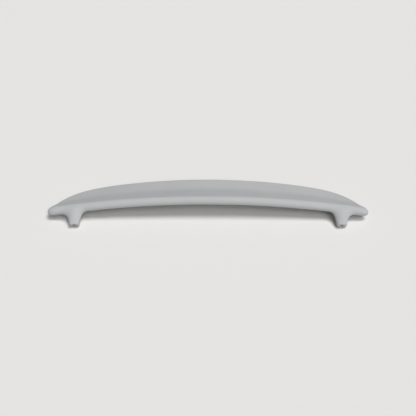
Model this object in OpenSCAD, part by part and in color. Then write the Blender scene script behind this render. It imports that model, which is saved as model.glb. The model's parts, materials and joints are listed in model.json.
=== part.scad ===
// Rear spoiler: one moulded blade on two flared legs, in grey primer.
// X runs across the car, Y to the rear and Z up. It stands on the ground on the lower
// edges of its feet and on the outer ends of its trailing edge, with Z = 0 on the ground.
// The skin is one closed loft. Each station across the blade is a ring of five curves:
// top, crest to nose, nose to lower lip, underside, and the rounded trailing edge.

/* [Blade] */
// Overall width, tip to tip
span = 1268; // [1200:1:1450]
// Depth of the blade at the middle, from the back of the nose roll to the trailing edge
blade_depth = 169; // [120:0.5:220]
// Power of the curve that holds the depth before it falls away at the tips
tip_power = 11.7; // [5:0.1:15]
// Roundness of the plan at the tips
tip_round = 0.97; // [0.6:0.01:1.4]
// Length over which the end of the nose roll narrows to its rounded tip
tip_cap = 36.5; // [25:0.5:60]
// Bluntness of the tip, 2 for an ellipse
tip_blunt = 2.7; // [2:0.1:4]
// Thickness of the trailing edge
edge_t = 5; // [3:0.5:9]

/* [Nose] */
// Height of the nose roll at the middle
nose_h = 34.8; // [26:0.1:44]
// Height that the nose roll gains towards the tips
nose_swell = 2.1; // [0:0.1:8]
// How far the nose line has come forward at the tips
nose_sweep = 10; // [0:0.5:40]
// How far the nose line has dropped at the tips
crown = 52.1; // [20:0.1:70]
// Fall of the surface behind the crest, measured from the chord line
lip_angle = 13; // [6:0.5:16]
// Rise of the top surface at the trailing edge, measured from the chord line
ramp_angle = 8; // [0:0.5:12]

/* [Stance] */
// Nose-up pitch of the chord line at the middle, as the spoiler stands
pitch = 11.3; // [6:0.1:16]
// Further nose-up pitch gained by the tips
twist = 7; // [0:0.1:12]

/* [Legs] */
// Distance between the centres of the feet
leg_spacing = 1047; // [960:1:1090]
// How much further out the leg is at its root than at its foot
leg_splay = 6; // [0:0.5:12]
// Angle of the leg below the horizontal
leg_angle = 30; // [20:1:40]
// Length of the leg, from the nose axis to the face of the foot
leg_len = 71.6; // [60:0.1:100]
// Width of the foot
foot_w = 39.5; // [32:0.5:50]
// Thickness of the foot
foot_t = 32; // [26:0.5:36]
// Squareness of the foot's outline, 2 for an ellipse
foot_square = 2.5; // [2:0.1:5]
// Small radius round the edge of the foot's face
foot_edge = 1.5; // [0.5:0.1:3]
// Reach of the flare to each side of the leg's axis, where it dies out in the nose
flare_w = 58; // [50:1:64]
// Start of the flare below the crest, round the nose
flare_over = 8; // [4:1:14]
// Reach of the flare along the underside, back from the lower lip
flare_under = 36; // [20:1:50]
// Taper of the leg's sides just above the foot
flare_taper = 7; // [0:0.5:15]

/* [Inserts] */
// Outer diameter of the threaded insert
insert_d = 10; // [8:0.5:14]
// Length of the insert
insert_l = 14; // [10:0.5:20]
// Bore of the insert, tapped for the fixing screw
thread_d = 5; // [4:0.1:6.8]
// Depth of the insert below the face of the foot
insert_set = 1; // [0:0.25:3]
// Depth of the room below the insert for the end of the screw
screw_run = 3; // [0:0.5:6]
// Width of that room
screw_run_d = 7; // [5:0.1:7.8]
// Clearance round the insert in its bore
insert_gap = 0.05; // [0.02:0.01:0.2]
// Chamfer at the insert's ends
insert_c = 0.5; // [0.2:0.1:0.8]
// Depth of the two grooves that key the insert in the moulding
groove_d = 0.8; // [0.3:0.1:1]
// Width of those grooves
groove_w = 1.5; // [0.8:0.1:2]

/* [Hidden] */
primer = [0.74, 0.75, 0.75];
brass = [0.78, 0.64, 0.36];

half = span / 2;
cap_start = half - tip_cap;
foot_x = leg_spacing / 2;
root_x = foot_x + leg_splay;
// Half width of the window across the nose
window_w = flare_w + 4;

// Corners of the section, back and up from the nose axis, as shares of the nose's radius
crest_at = [0.25, 0.94];
front_at = [-1, -0.1];
lip_at = [0.15, -1];
// Pulls of the nose's curves at those corners, as shares of the nose's radius
crest_pull = 0.5;
front_up_pull = 0.72;
front_down_pull = 0.6;
lip_pull = 0.6;
// Pulls of the top and the underside, as shares of their lengths, and of the rounded edge
top_front_pull = 0.67;
top_back_pull = 0.47;
under_pull = 0.35;
edge_pull = 1.33;
// Rise of the underside at the trailing edge over that of the top
under_rise = 3;
// Turn of the blade's edge into a round where its depth runs out, and the depth for that
tip_turn = 90;
tip_turn_depth = 38;

// Counts of steps in each curve of a ring: top, crest, front, underside, trailing edge
ring_steps = [13, 10, 8, 12, 4];
// Counts of stations: middle to flare, across the flare, flare to tip
n_mid = 16;
n_flare = 14;
n_end = 11;
// Steps of the crest above the window, and of the underside inside it
window_top = 1;
window_under = 5;
// Rings of the net from the window's border to the flare, and from there to the foot
n_skin_rings = 4;
n_leg = 9;
// Pull of the flare's curve on the nose and on the leg, as shares of their lengths
flare_pull = 0.4;
leg_pull = 0.52;

function mix(a, b, t) = a + (b - a) * t;
function bez(c, t) = let (m = 1 - t)
    m * m * m * c[0] + 3 * m * m * t * c[1] + 3 * m * t * t * c[2] + t * t * t * c[3];
function unit(v) = v / norm(v);
function heading(a) = [cos(a), sin(a)];

// Laws along the span, for u the distance from the middle
function share(u) = min(1, u / half);
function nose_r(u) = (nose_h + nose_swell * share(u) ^ 2) / 2;
function nose_y(u) = -nose_sweep * share(u) ^ 2;
function nose_z(u) = -crown * share(u) ^ 2;
function pitch_at(u) = pitch + twist * share(u) ^ 2;
function depth(u) = blade_depth * max(0, 1 - share(u) ^ tip_power) ^ tip_round;
function cap_scale(u) = u <= cap_start ? 1
    : max(0, 1 - ((u - cap_start) / tip_cap) ^ tip_blunt) ^ (1 / tip_blunt);

// The five curves of the ring at u, in the plane of the section: first number back along
// the chord from the nose axis, second number up from the chord
function ring_curves(u) = let (
        r = nose_r(u) * cap_scale(u),
        e = edge_t / 2 * cap_scale(u),
        back = r + depth(u),
        turn = tip_turn * exp(-depth(u) / tip_turn_depth),
        crest = r * crest_at,
        front = r * front_at,
        lip = r * lip_at,
        top_end = [back - e, e],
        low_end = [back - e, -e],
        lip_dir = heading(-lip_angle),
        top_dir = heading(ramp_angle - turn),
        low_dir = heading(ramp_angle + under_rise + turn),
        top_l = norm(top_end - crest),
        low_l = norm(low_end - lip))
    [
        [top_end, top_end - top_back_pull * top_l * top_dir,
            crest + top_front_pull * top_l * lip_dir, crest],
        [crest, crest - crest_pull * r * lip_dir, front + front_up_pull * r * [0, 1], front],
        [front, front - front_down_pull * r * [0, 1], lip - lip_pull * r * [1, 0], lip],
        [lip, lip + under_pull * low_l * [1, 0], low_end - under_pull * low_l * low_dir, low_end],
        [low_end, low_end + edge_pull * e * [1, 0], top_end + edge_pull * e * [1, 0], top_end]
    ];

// A point of the skin: x across the car, c the curve's number, t the place along it
function skin(x, c, t) = let (
        u = abs(x),
        a = pitch_at(u),
        p = bez(ring_curves(u)[c], t))
    [x, nose_y(u) + p.x * cos(a) + p.y * sin(a), nose_z(u) - p.x * sin(a) + p.y * cos(a)];

// Girth of the nose, measured down from the crest over the front and the lip at the leg
function curve_length(c) = let (n = 12) sum_of([for (i = [0:n - 1])
    norm(skin(root_x, c, (i + 1) / n) - skin(root_x, c, i / n))]);
function sum_of(v) = v * [for (x = v) 1];
crest_l = curve_length(1);
front_l = curve_length(2);
under_l = curve_length(3);
function at_girth(g) = g < crest_l ? [1, g / crest_l]
    : g < crest_l + front_l ? [2, (g - crest_l) / front_l]
    : [3, (g - crest_l - front_l) / under_l];

// Stations from tip to tip, and the places of each ring's points
half_x = concat(
    [for (i = [0:n_mid - 1]) mix(0, root_x - window_w, i / n_mid)],
    [for (i = [0:n_flare - 1]) mix(root_x - window_w, root_x + window_w, i / n_flare)],
    [for (i = [0:n_end - 1]) mix(root_x + window_w, half, sin(90 * i / n_end))]);
n_half = len(half_x);
stations = concat([for (i = [n_half - 1:-1:1]) -half_x[i]], half_x);
n_st = len(stations);
ring = [for (c = [0:4], i = [0:ring_steps[c] - 1]) [c, i / ring_steps[c]]];
n_ring = len(ring);

// The foot: its middle, the direction in which the leg points, and the way up its face
function leg_root(side) = [side * root_x, nose_y(root_x), nose_z(root_x)];
leg_dir = [0, -cos(leg_angle), -sin(leg_angle)];
face_up = [0, -sin(leg_angle), cos(leg_angle)];
function foot_mid(side) = leg_root(side) + leg_len * leg_dir - [side * leg_splay, 0, 0];
function power_cos(v) = sign(v) * abs(v) ^ (2 / foot_square);
function foot_rim(side, a, inset, behind) = foot_mid(side) - behind * leg_dir
    + (foot_w / 2 - inset) * power_cos(cos(a)) * [1, 0, 0]
    + (foot_t / 2 - inset) * power_cos(sin(a)) * face_up;

// The skin opens in a window of the net at each leg, and the leg grows from its border
first_j = ring_steps[0] + window_top;
last_j = ring_steps[0] + ring_steps[1] + ring_steps[2] + window_under;
function first_i(side) = side > 0 ? n_half - 1 + n_mid : n_half - 1 - n_mid - n_flare;
function border(side) = let (i0 = first_i(side), i1 = i0 + n_flare)
    concat(
        [for (i = [i0:i1 - 1]) [i, first_j]],
        [for (j = [first_j:last_j - 1]) [i1, j]],
        [for (i = [i1:-1:i0 + 1]) [i, last_j]],
        [for (j = [last_j:-1:first_j + 1]) [i0, j]]);
n_border = len(border(1));

// Place of a point of the net, and of the flare's outline, as distance from the leg's
// axis across the nose and girth round it
function net_place(side, ij) = let (at = ring[ij[1]])
    [stations[ij[0]] - side * root_x,
        at[0] == 1 ? at[1] * crest_l : at[0] == 2 ? crest_l + at[1] * front_l
            : crest_l + front_l + at[1] * under_l];
flare_low = crest_l + front_l + flare_under;
flare_mid = (flare_over + flare_low) / 2;
window_l = 2 * max(flare_mid - net_place(1, [0, first_j])[1],
    net_place(1, [0, last_j])[1] - flare_mid);
function flare_place(a, grow) = [grow * flare_w * cos(a),
    flare_mid - grow * (flare_low - flare_over) / 2 * sin(a)];
function on_skin(side, place) = let (at = at_girth(place[1]))
    skin(side * root_x + place[0], at[0], at[1]);

// One line of the leg, from the window's border over the nose to the flare's outline,
// and from there in a curve that leaves the nose along its skin and reaches the foot
// along the leg
function leg_line(side, ij) = let (
        from = net_place(side, ij),
        a = atan2((flare_mid - from[1]) / (window_l / 2), from[0] / window_w),
        start = on_skin(side, flare_place(a, 1)),
        away = unit(on_skin(side, flare_place(a, 0.95)) - start),
        end = foot_rim(side, a, 0, foot_edge),
        open = tan(flare_taper) * cos(a) * [1, 0, 0],
        curve = [start, start + flare_pull * norm(end - start) * away,
            end + leg_pull * leg_len * (open - leg_dir), end])
    concat(
        [for (k = [1:n_skin_rings - 1])
            on_skin(side, mix(from, flare_place(a, 1), k / n_skin_rings))],
        [for (k = [0:n_leg]) bez(curve, k / n_leg)],
        [foot_rim(side, a, 0.3 * foot_edge, 0.3 * foot_edge), foot_rim(side, a, foot_edge, 0)]);
n_leg_rings = n_skin_rings + n_leg + 2;

function leg_points(side) = let (lines = [for (ij = border(side)) leg_line(side, ij)])
    concat([for (k = [0:n_leg_rings - 1], l = lines) l[k]], [foot_mid(side)]);

// Places in the list of points
function grid_id(i, j) = i * n_ring + j % n_ring;
n_grid = n_st * n_ring;
function leg_start(side) = n_grid + (side > 0 ? 0 : n_border * n_leg_rings + 1);
function leg_id(side, k, m) = k == 0
    ? (let (ij = border(side)[m % n_border]) grid_id(ij[0], ij[1]))
    : leg_start(side) + (k - 1) * n_border + m % n_border;
// A quad splits along its shorter diagonal, and along its longer one in the leg's flare,
// where that keeps the folds along the surface's own lines
function quad(a, b, c, d, longer = false) = let (
        ac_shorter = norm(raw_points[a] - raw_points[c]) < norm(raw_points[b] - raw_points[d]))
    ac_shorter != longer ? [[a, b, c], [a, c, d]] : [[a, b, d], [b, c, d]];
function in_window(side, i, j) = i >= first_i(side) && i < first_i(side) + n_flare
    && j >= first_j && j < last_j;

tip_left = n_grid + 2 * (n_border * n_leg_rings + 1);
tip_right = tip_left + 1;
function tip_point(side) = [side * half, nose_y(half), nose_z(half)];

raw_points = concat(
    [for (x = stations, at = ring) skin(x, at[0], at[1])],
    leg_points(1), leg_points(-1),
    [tip_point(-1), tip_point(1)]);
faces = concat(
    [for (i = [0:n_st - 2], j = [0:n_ring - 1])
        if (!in_window(1, i, j) && !in_window(-1, i, j))
            each quad(grid_id(i, j), grid_id(i + 1, j), grid_id(i + 1, j + 1), grid_id(i, j + 1))],
    [for (side = [1, -1], k = [0:n_leg_rings - 1], m = [0:n_border - 1])
        each quad(leg_id(side, k, m), leg_id(side, k, m + 1),
            leg_id(side, k + 1, m + 1), leg_id(side, k + 1, m), k >= n_skin_rings)],
    [for (side = [1, -1], m = [0:n_border - 1])
        [leg_id(side, n_leg_rings, m), leg_id(side, n_leg_rings, m + 1),
            leg_start(side) + n_leg_rings * n_border]],
    [for (j = [0:n_ring - 1]) [grid_id(0, j), grid_id(0, j + 1), tip_left]],
    [for (j = [0:n_ring - 1]) [grid_id(n_st - 1, j + 1), grid_id(n_st - 1, j), tip_right]]);

// The spoiler stands on its lowest point, with the middle of its length at Y = 0
low_z = min([for (p = raw_points) p.z]);
mid_y = (min([for (p = raw_points) p.y]) + max([for (p = raw_points) p.y])) / 2;
to_ground = [0, -mid_y, -low_z];
points = [for (p = raw_points) p + to_ground];

// Places what is drawn along Z at a foot, with Z = 0 on the face and +Z out of the foot
module at_foot(side) {
    translate(foot_mid(side) + to_ground) rotate([90 + leg_angle, 0, 0]) children();
}

module wing_body() color(primer) {
    difference() {
        polyhedron(points, faces, convexity = 10);
        for (side = [1, -1]) at_foot(side) {
            translate([0, 0, -insert_set - insert_l])
                cylinder(h = insert_set + insert_l + 1, d = insert_d + 2 * insert_gap, $fn = 48);
            translate([0, 0, -insert_set - insert_l - screw_run])
                cylinder(h = screw_run + 1, d = screw_run_d, $fn = 48);
        }
    }
}

// One threaded insert: a turned sleeve with two grooves, a third and two thirds of the way up
module insert() {
    r = insert_d / 2;
    bore_r = thread_d / 2;
    translate([0, 0, -insert_set - insert_l]) rotate_extrude($fn = 48) polygon(concat(
        [[bore_r, 0], [r - insert_c, 0], [r, insert_c]],
        [for (z = [insert_l / 3, insert_l * 2 / 3]) each [
            [r, z - groove_w / 2], [r - groove_d, z - groove_w / 2],
            [r - groove_d, z + groove_w / 2], [r, z + groove_w / 2]]],
        [[r, insert_l], [bore_r + insert_c, insert_l], [bore_r, insert_l - insert_c]]));
}

module mounting_inserts() color(brass) {
    for (side = [1, -1]) at_foot(side) insert();
}

wing_body();
mounting_inserts();
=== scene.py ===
# %% [markdown]
# # A rear spoiler in grey primer
#
# The object is a car's rear spoiler: a bowed blade with a rounded nose and a dished top, on two
# short flared legs. It comes out of its mould in one piece and is sprayed with grey primer, and
# each foot holds a threaded brass insert. The construction is a fixed frame that this script
# loads. The script adds what makes it look real: a smooth skin over the frame's facets, the
# turned inserts with their threads, the sprayed primer, a floor, soft light and a camera.

# %% Load the frame
import json
import math

import bmesh
import bpy
from mathutils import Matrix, Vector


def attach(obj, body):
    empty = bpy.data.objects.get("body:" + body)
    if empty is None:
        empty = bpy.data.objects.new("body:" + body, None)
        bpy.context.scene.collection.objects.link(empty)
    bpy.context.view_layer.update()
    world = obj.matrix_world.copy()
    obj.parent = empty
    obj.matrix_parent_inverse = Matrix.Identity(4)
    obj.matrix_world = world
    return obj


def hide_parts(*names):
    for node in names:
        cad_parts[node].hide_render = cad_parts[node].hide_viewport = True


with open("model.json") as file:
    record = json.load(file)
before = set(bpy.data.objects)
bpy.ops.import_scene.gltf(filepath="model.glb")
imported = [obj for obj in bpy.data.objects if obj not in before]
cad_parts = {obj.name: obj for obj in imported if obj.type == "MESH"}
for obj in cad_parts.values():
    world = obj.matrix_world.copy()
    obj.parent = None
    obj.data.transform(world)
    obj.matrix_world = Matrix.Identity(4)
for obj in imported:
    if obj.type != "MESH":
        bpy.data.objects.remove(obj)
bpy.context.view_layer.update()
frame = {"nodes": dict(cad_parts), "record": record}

MM = 0.001

# %% [markdown]
# ## Colours and nodes
#
# Colours are written as the hex values that a paint chart or a picture editor shows. Shaders
# work in linear light, so one function turns them. A second one adds a node to a material,
# with its settings and its links in one call, so that each material reads as a short list.

# %% Helpers for materials
def linear(hex_colour):
    """An sRGB hex colour as linear red, green, blue and an alpha of 1."""
    levels = [int(hex_colour[i:i + 2], 16) / 255 for i in (0, 2, 4)]
    return [v / 12.92 if v <= 0.04045 else ((v + 0.055) / 1.055) ** 2.4 for v in levels] + [1.0]


def add_node(tree, kind, values=None):
    """Adds a node and sets its properties and sockets; a value that is a socket is linked."""
    node = tree.nodes.new(kind)
    for key, value in (values or {}).items():
        if isinstance(value, bpy.types.NodeSocket):
            tree.links.new(value, node.inputs[key])
        elif isinstance(key, str) and hasattr(node, key):
            setattr(node, key, value)
        else:
            node.inputs[key].default_value = value
    return node


def new_material(name):
    """A new material, its node tree and its Principled shader."""
    material = bpy.data.materials.new(name)
    material.use_nodes = True
    return material, material.node_tree, material.node_tree.nodes["Principled BSDF"]


print("the grey 808080 in linear light:", round(linear("808080")[0], 3))

# %% [markdown]
# ## The primer
#
# The skin is a moulding of ABS, sanded and sprayed with a two-pack primer filler. The film
# levels into a faint orange peel about 2 mm from crest to crest and dries nearly matt, because
# its pigment stands out of the binder. A clear gloss would mirror the pale floor at a low angle
# and wash out the dish behind the crest. Each pass of the gun lies a little wetter or drier
# than the last, so tone and gloss drift over a hand's width. The pigment grain is some
# hundredths of a millimetre, too fine to show here, so it is drawn at 0.8 mm. Three noise
# textures on Object coordinates give all that without any image.

# %% Primer material
PASS_WIDTH = 140 * MM
GRAIN_SIZE = 0.8 * MM
PEEL_SIZE = 2.2 * MM
PEEL_HEIGHT = 0.06 * MM
PEEL_STRENGTH = 0.35
DRY_TONE = "B5B7B8"
WET_TONE = "BCBDBE"
DRY_ROUGHNESS = 0.84
WET_ROUGHNESS = 0.76
SPECKLE = 0.03
MATT_SHEEN = 0.2
NOISE_SPAN = {"From Min": 0.3, "From Max": 0.7}  # nearly all of a noise's values lie in here


def primer_material():
    material, tree, shader = new_material("sprayed_primer_on_abs")
    place = add_node(tree, "ShaderNodeTexCoord").outputs["Object"]
    wet, grain, peel = [
        add_node(tree, "ShaderNodeTexNoise", {"Vector": place, "Scale": 1 / size,
                 "Detail": detail}).outputs["Fac"]
        for size, detail in ((PASS_WIDTH, 2), (GRAIN_SIZE, 1), (PEEL_SIZE, 1))]

    tone = add_node(tree, "ShaderNodeMix", {"data_type": "RGBA", 0: wet, 6: linear(DRY_TONE),
                    7: linear(WET_TONE)}).outputs[2]
    speckle = add_node(tree, "ShaderNodeMapRange", {**NOISE_SPAN, "Value": grain,
                       "To Min": 1 - SPECKLE, "To Max": 1 + SPECKLE}).outputs["Result"]
    colour = add_node(tree, "ShaderNodeMix", {"data_type": "RGBA", "blend_type": "MULTIPLY",
                      0: 1.0, 6: tone, 7: speckle}).outputs[2]
    gloss = add_node(tree, "ShaderNodeMapRange", {**NOISE_SPAN, "Value": wet,
                     "To Min": DRY_ROUGHNESS, "To Max": WET_ROUGHNESS}).outputs["Result"]
    bump = add_node(tree, "ShaderNodeBump", {"Height": peel, "Strength": PEEL_STRENGTH,
                    "Distance": PEEL_HEIGHT}).outputs["Normal"]
    tree.links.new(colour, shader.inputs["Base Color"])
    tree.links.new(gloss, shader.inputs["Roughness"])
    tree.links.new(bump, shader.inputs["Normal"])
    shader.inputs["Specular IOR Level"].default_value = MATT_SHEEN
    return material


primer = primer_material()
print("made", primer.name)

# %% [markdown]
# ## The brass of the inserts
#
# The inserts are turned from brass bar. Turning leaves rings round the axis, but they are only
# some hundredths of a millimetre apart, so they show as a spread of the gloss. The metal dulls
# in the air, unevenly, which a noise in its roughness and a browner tone give. Their ends carry
# painted shade: a dark, non-metallic grey stands in for the shade in the hole and the dark that
# the metal would mirror there, so that each shows as a dark spot in its foot. It fades within
# the first two millimetres. The distance along their common axis tells the shader where that is.

# %% Brass material
STAIN_SIZE = 3 * MM
BRIGHT_BRASS = "B8955A"
DULL_BRASS = "8F7444"
BRIGHT_ROUGHNESS = 0.32
DULL_ROUGHNESS = 0.55
# painted shade: a dark grey laid on the inserts' ends, where the hole is only in shade
PAINTED_SHADE_DEPTH = 2.0 * MM
PAINTED_SHADE_TONE = "4A4B4C"
PAINTED_SHADE_COVER = 0.85

mounts = {mount["name"]: mount for mount in frame["record"]["mounts"]}
thread = mounts["left_foot_thread"]
foot_axis = Vector(thread["axis"])
foot_level = foot_axis.dot(Vector(thread["pos_m"])) + thread["dims"]["length_mm"] * MM / 2


def brass_material(axis, mouth_level):
    material, tree, shader = new_material("turned_brass")
    place = add_node(tree, "ShaderNodeTexCoord").outputs["Object"]
    dull = add_node(tree, "ShaderNodeTexNoise", {"Vector": place, "Scale": 1 / STAIN_SIZE,
                    "Detail": 3}).outputs["Fac"]
    level = add_node(tree, "ShaderNodeVectorMath", {"operation": "DOT_PRODUCT", 0: place,
                     1: axis}).outputs["Value"]
    # painted shade: darkens the metal towards the mouth and takes its metal sheen away, strongest
    # at the end face
    painted_shade = add_node(tree, "ShaderNodeMapRange", {"Value": level, "To Min": 0.0,
                    "To Max": PAINTED_SHADE_COVER, "From Min": mouth_level - PAINTED_SHADE_DEPTH,
                    "From Max": mouth_level}).outputs["Result"]

    metal = add_node(tree, "ShaderNodeMix", {"data_type": "RGBA", 0: dull,
                     6: linear(BRIGHT_BRASS), 7: linear(DULL_BRASS)}).outputs[2]
    colour = add_node(tree, "ShaderNodeMix", {"data_type": "RGBA", 0: painted_shade, 6: metal,
                      7: linear(PAINTED_SHADE_TONE)}).outputs[2]
    gloss = add_node(tree, "ShaderNodeMapRange", {**NOISE_SPAN, "Value": dull,
                     "To Min": BRIGHT_ROUGHNESS, "To Max": DULL_ROUGHNESS}).outputs["Result"]
    bare = add_node(tree, "ShaderNodeMath", {"operation": "SUBTRACT", 0: 1.0, 1: painted_shade})
    tree.links.new(colour, shader.inputs["Base Color"])
    tree.links.new(gloss, shader.inputs["Roughness"])
    tree.links.new(bare.outputs[0], shader.inputs["Metallic"])
    return material


brass = brass_material(foot_axis, foot_level)
print("made", brass.name, "with film up to", round(foot_level, 4), "m along the axis")

# %% [markdown]
# ## The skin
#
# The frame's body is a loft of flat facets, and even a matt finish shows every one of them. A
# copy of its mesh becomes the skin: the loose triangles are merged, pairs of them are joined
# back into the four-sided faces of the loft, and a Subdivision Surface rounds them. The rims of
# the feet and of the insert holes are crisp on the real moulding, so their edges get a full
# crease, which keeps the subdivision from rounding them away, and are marked sharp, which keeps
# the shading of one face from running over the edge into the next.

# %% Smooth skin from the frame's body
MERGE = 0.002 * MM
JOIN_ANGLE = math.radians(40)
ANY_SHAPE = math.pi
CRISP_ANGLE = math.radians(32)


def add_piece(name, bm, material):
    """Makes an object at the origin from a bmesh, with smooth faces and one material."""
    mesh = bpy.data.meshes.new(name)
    bm.to_mesh(mesh)
    bm.free()
    mesh.materials.append(material)
    mesh.shade_smooth()
    piece = bpy.data.objects.new(name, mesh)
    bpy.context.collection.objects.link(piece)
    return piece


def skin_of(node):
    """A merged copy of a frame node's mesh in four-sided faces, with its crisp edges marked."""
    bm = bmesh.new()
    bm.from_mesh(node.data)
    bmesh.ops.remove_doubles(bm, verts=bm.verts, dist=MERGE)
    bmesh.ops.join_triangles(bm, faces=bm.faces, angle_face_threshold=JOIN_ANGLE,
                             angle_shape_threshold=ANY_SHAPE)
    bmesh.ops.recalc_face_normals(bm, faces=bm.faces)
    crease = bm.edges.layers.float.new("crease_edge")
    crisp = [e for e in bm.edges if e.calc_face_angle(0) > CRISP_ANGLE]
    for edge in crisp:
        edge[crease] = 1.0
        edge.smooth = False
    quads = sum(len(f.verts) == 4 for f in bm.faces)
    print("skin:", len(bm.faces), "faces,", quads, "of four sides,", len(crisp), "crisp edges")
    return bm


skin = add_piece("spoiler_skin", skin_of(frame["nodes"]["wing_body"]), primer)
rounding = skin.modifiers.new("rounding", "SUBSURF")
rounding.levels = rounding.render_levels = 1
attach(skin, "root")
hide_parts("wing_body")

# %% [markdown]
# ## The inserts
#
# Each insert is a brass sleeve, pressed into the foot while the plastic is warm. Its profile is
# turned round the axis with a spin. The thread could be a picture of lines on the bore's wall,
# but the light of a low view shows real ridges, so the outline of one ridge, with flanks at 60
# degrees to each other, is spun with a rise at each step, which sweeps a true screw thread. The
# ridge is sunk a little into the wall, and its turns stay just apart, so that no two of its
# edges meet.

# %% Profile and thread of an insert
SLEEVE_R = 5 * MM
SLEEVE_L = 14 * MM
END_CHAMFER = 0.5 * MM
KEY_DEPTH = 0.8 * MM
KEY_WIDTH = 1.5 * MM
KEY_PLACES = (-2 / 3, -1 / 3)  # the two keying grooves, as shares of the sleeve's length
PITCH = 1.0 * MM
THREAD_DEPTH = 0.54 * MM
RIDGE_SUNK = 0.1 * MM
RIDGE_FOOT = (0.01, 0.99)  # where the ridge meets the wall and where it is flat on top,
RIDGE_TOP = (3 / 8, 5 / 8)  # as shares of the pitch
TURN_STEPS = 48
THREAD_STEPS = 24


def spun(bm, outline, steps=TURN_STEPS, angle=2 * math.pi, rise=0.0):
    """Spins a closed outline of (radius, height) points round Z, rising a little at each step."""
    verts = [bm.verts.new((r, 0, z)) for r, z in outline]
    ring = [bm.edges.new((verts[i - 1], verts[i])) for i in range(len(verts))]
    geom = verts + ring
    if rise:
        geom.append(bm.faces.new(verts))
    bmesh.ops.spin(bm, geom=geom, cent=(0, 0, 0), axis=(0, 0, 1), dvec=(0, 0, rise),
                   angle=angle, steps=steps, use_merge=not rise)


def insert_mesh(thread_r):
    """One insert along Z, its mouth at Z = 0 and its body below."""
    bm = bmesh.new()
    wall_r = thread_r + THREAD_DEPTH
    outline = [(wall_r, -SLEEVE_L), (SLEEVE_R - END_CHAMFER, -SLEEVE_L),
               (SLEEVE_R, END_CHAMFER - SLEEVE_L)]
    for place in KEY_PLACES:
        low = place * SLEEVE_L - KEY_WIDTH / 2
        high = low + KEY_WIDTH
        outline += [(SLEEVE_R, low), (SLEEVE_R - KEY_DEPTH, low),
                    (SLEEVE_R - KEY_DEPTH, high), (SLEEVE_R, high)]
    outline += [(SLEEVE_R, 0), (wall_r + END_CHAMFER, 0), (wall_r, -END_CHAMFER)]
    spun(bm, outline)

    turns = (SLEEVE_L - 2 * END_CHAMFER) / PITCH - 1
    steps = round(turns * THREAD_STEPS)
    start = END_CHAMFER - SLEEVE_L
    foot_r = wall_r + RIDGE_SUNK
    ridge = [(foot_r, start + PITCH * RIDGE_FOOT[0]), (thread_r, start + PITCH * RIDGE_TOP[0]),
             (thread_r, start + PITCH * RIDGE_TOP[1]), (foot_r, start + PITCH * RIDGE_FOOT[1])]
    spun(bm, ridge, steps, turns * 2 * math.pi, turns * PITCH / steps)
    return bm


print("thread ridge:", round(THREAD_DEPTH / MM, 2), "mm high, one turn in", PITCH / MM, "mm")

# %% [markdown]
# ## Placing the inserts
#
# Both inserts are the same fastener, so one mesh is made along Z for each foot and turned and
# moved there as a mesh. The object itself stays at the origin, as every finished piece does.
# The record's mounts say where each thread lies and which way it points, so the inserts follow
# the frame if its legs change.

# %% Threaded inserts
SHARP_ANGLE = math.radians(30)

inserts = bmesh.new()
for side in ("left", "right"):
    mount = mounts[side + "_foot_thread"]
    axis = Vector(mount["axis"])
    reach = mount["dims"]["length_mm"] * MM / 2 + END_CHAMFER
    mouth = Vector(mount["pos_m"]) + axis * reach
    one = insert_mesh(mount["dims"]["r_mm"] * MM)
    turn = Vector((0, 0, 1)).rotation_difference(axis).to_matrix().to_4x4()
    bmesh.ops.transform(one, matrix=Matrix.Translation(mouth) @ turn, verts=one.verts)
    held = bpy.data.meshes.new("one_insert")
    one.to_mesh(held)
    one.free()
    inserts.from_mesh(held)
    bpy.data.meshes.remove(held)
bmesh.ops.recalc_face_normals(inserts, faces=inserts.faces)
print("inserts:", len(inserts.faces), "faces")
threaded_inserts = add_piece("threaded_inserts", inserts, brass)
threaded_inserts.data.set_sharp_from_angle(angle=SHARP_ANGLE)
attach(threaded_inserts, "root")
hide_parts("mounting_inserts")

# %% [markdown]
# ## The floor and the light
#
# A plain pale floor and soft light, as in a studio. A light straight above would hide the
# dish behind the crest, so two broad lights stand before the nose, both to the right of it: a
# strong one high up and a weaker one lower, which the dish turns away from, so that it reads
# as a darker band. Each is as wide as a softbox of 3 m at 6 m. They are suns, because lamps as
# near as that would leave the far floor dark. A weak sky fills the rest. The backdrop has the
# floor's tone and shows only to the camera and in reflections, so that it puts no light of its
# own on the part.

# %% Floor
FLOOR_HALF = 40.0
FLOOR_TONE = "EAE9E7"
FLOOR_ROUGHNESS = 0.9
FLOOR_SHEEN = 0.2


def floor_material():
    """Matt pale paint: it carries the shadow of the part and mirrors nothing."""
    material, _, shader = new_material("matt_pale_floor")
    shader.inputs["Base Color"].default_value = linear(FLOOR_TONE)
    shader.inputs["Roughness"].default_value = FLOOR_ROUGHNESS
    shader.inputs["Specular IOR Level"].default_value = FLOOR_SHEEN
    return material


ground = bmesh.new()
bmesh.ops.create_grid(ground, x_segments=1, y_segments=1, size=FLOOR_HALF)
floor = add_piece("studio_floor", ground, floor_material())
print("floor", 2 * FLOOR_HALF, "m wide")

# %% Sky
SKY_STRENGTH = 0.1
BACKDROP_TONE = "E4E3E1"

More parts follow.
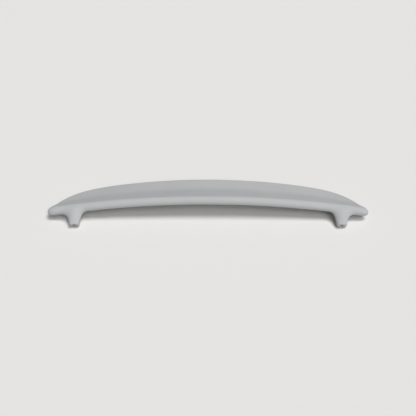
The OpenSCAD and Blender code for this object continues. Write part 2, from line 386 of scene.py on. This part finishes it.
world = bpy.data.worlds.new("studio_sky")
bpy.context.scene.world = world
world.use_nodes = True
sky = world.node_tree
sky.nodes.clear()
ray = add_node(sky, "ShaderNodeLightPath").outputs
seen = add_node(sky, "ShaderNodeMath", {"operation": "MAXIMUM", 0: ray["Is Camera Ray"],
                1: ray["Is Glossy Ray"]}).outputs[0]
seen = add_node(sky, "ShaderNodeMath", {"operation": "MAXIMUM", 0: seen,
                1: ray["Is Transmission Ray"]}).outputs[0]
fill = add_node(sky, "ShaderNodeBackground", {"Color": linear("FFFFFF"),
                "Strength": SKY_STRENGTH}).outputs[0]
backdrop = add_node(sky, "ShaderNodeBackground", {"Color": linear(BACKDROP_TONE),
                    "Strength": 1.0}).outputs[0]
both = add_node(sky, "ShaderNodeMixShader", {0: seen, 1: fill, 2: backdrop}).outputs[0]
add_node(sky, "ShaderNodeOutputWorld", {"Surface": both})
print("sky strength", SKY_STRENGTH)

# %% Two broad lights
LIGHT_WIDTH = math.radians(30)
# degrees to the right of the nose, degrees high, strength in watts on a square metre
LIGHTS = {"front_light": (20, 42, 0.92), "high_light": (60, 72, 2.14)}

for name, (bearing, height, strength) in LIGHTS.items():
    light = bpy.data.lights.new(name, "SUN")
    light.energy = strength
    light.angle = LIGHT_WIDTH
    lamp = bpy.data.objects.new(name, light)
    lamp.rotation_euler = (math.radians(90 - height), 0, math.radians(bearing))
    bpy.context.collection.objects.link(lamp)
    print(name, "stands", height, "degrees high and", bearing, "degrees to the right")

# %% [markdown]
# ## The camera
#
# The photograph was taken from a standing eye's height on the side of the nose. Its camera was
# worked out from the outline of the part: a lens of 58 mm on a 36 mm sensor, 1.71 m above the
# floor and tipped down by 38.7 degrees. It also turns by a fifth of a degree and leans by a
# quarter, which is why the left end sits a pixel higher in the picture than the right end.

# %% Camera
EYE = Vector((-0.0077, -2.1321, 1.7126))
TIP_DOWN = math.radians(38.725)
TURN = math.radians(-0.200)
LEAN = math.radians(0.242)
FOCAL_PIXELS = 673.1
PICTURE_PIXELS = 416
SENSOR_WIDTH = 36

view = bpy.data.cameras.new("eye")
view.sensor_width = SENSOR_WIDTH
view.lens = SENSOR_WIDTH * FOCAL_PIXELS / PICTURE_PIXELS
eye = bpy.data.objects.new("eye", view)
aim = (Matrix.Rotation(TURN, 3, "Z") @ Matrix.Rotation(math.pi / 2 - TIP_DOWN, 3, "X")
       @ Matrix.Rotation(LEAN, 3, "Z"))
eye.location = EYE
eye.rotation_euler = aim.to_euler()
bpy.context.collection.objects.link(eye)
bpy.context.scene.camera = eye
bpy.context.scene.view_settings.view_transform = "Standard"
print("lens", round(view.lens, 2), "mm")
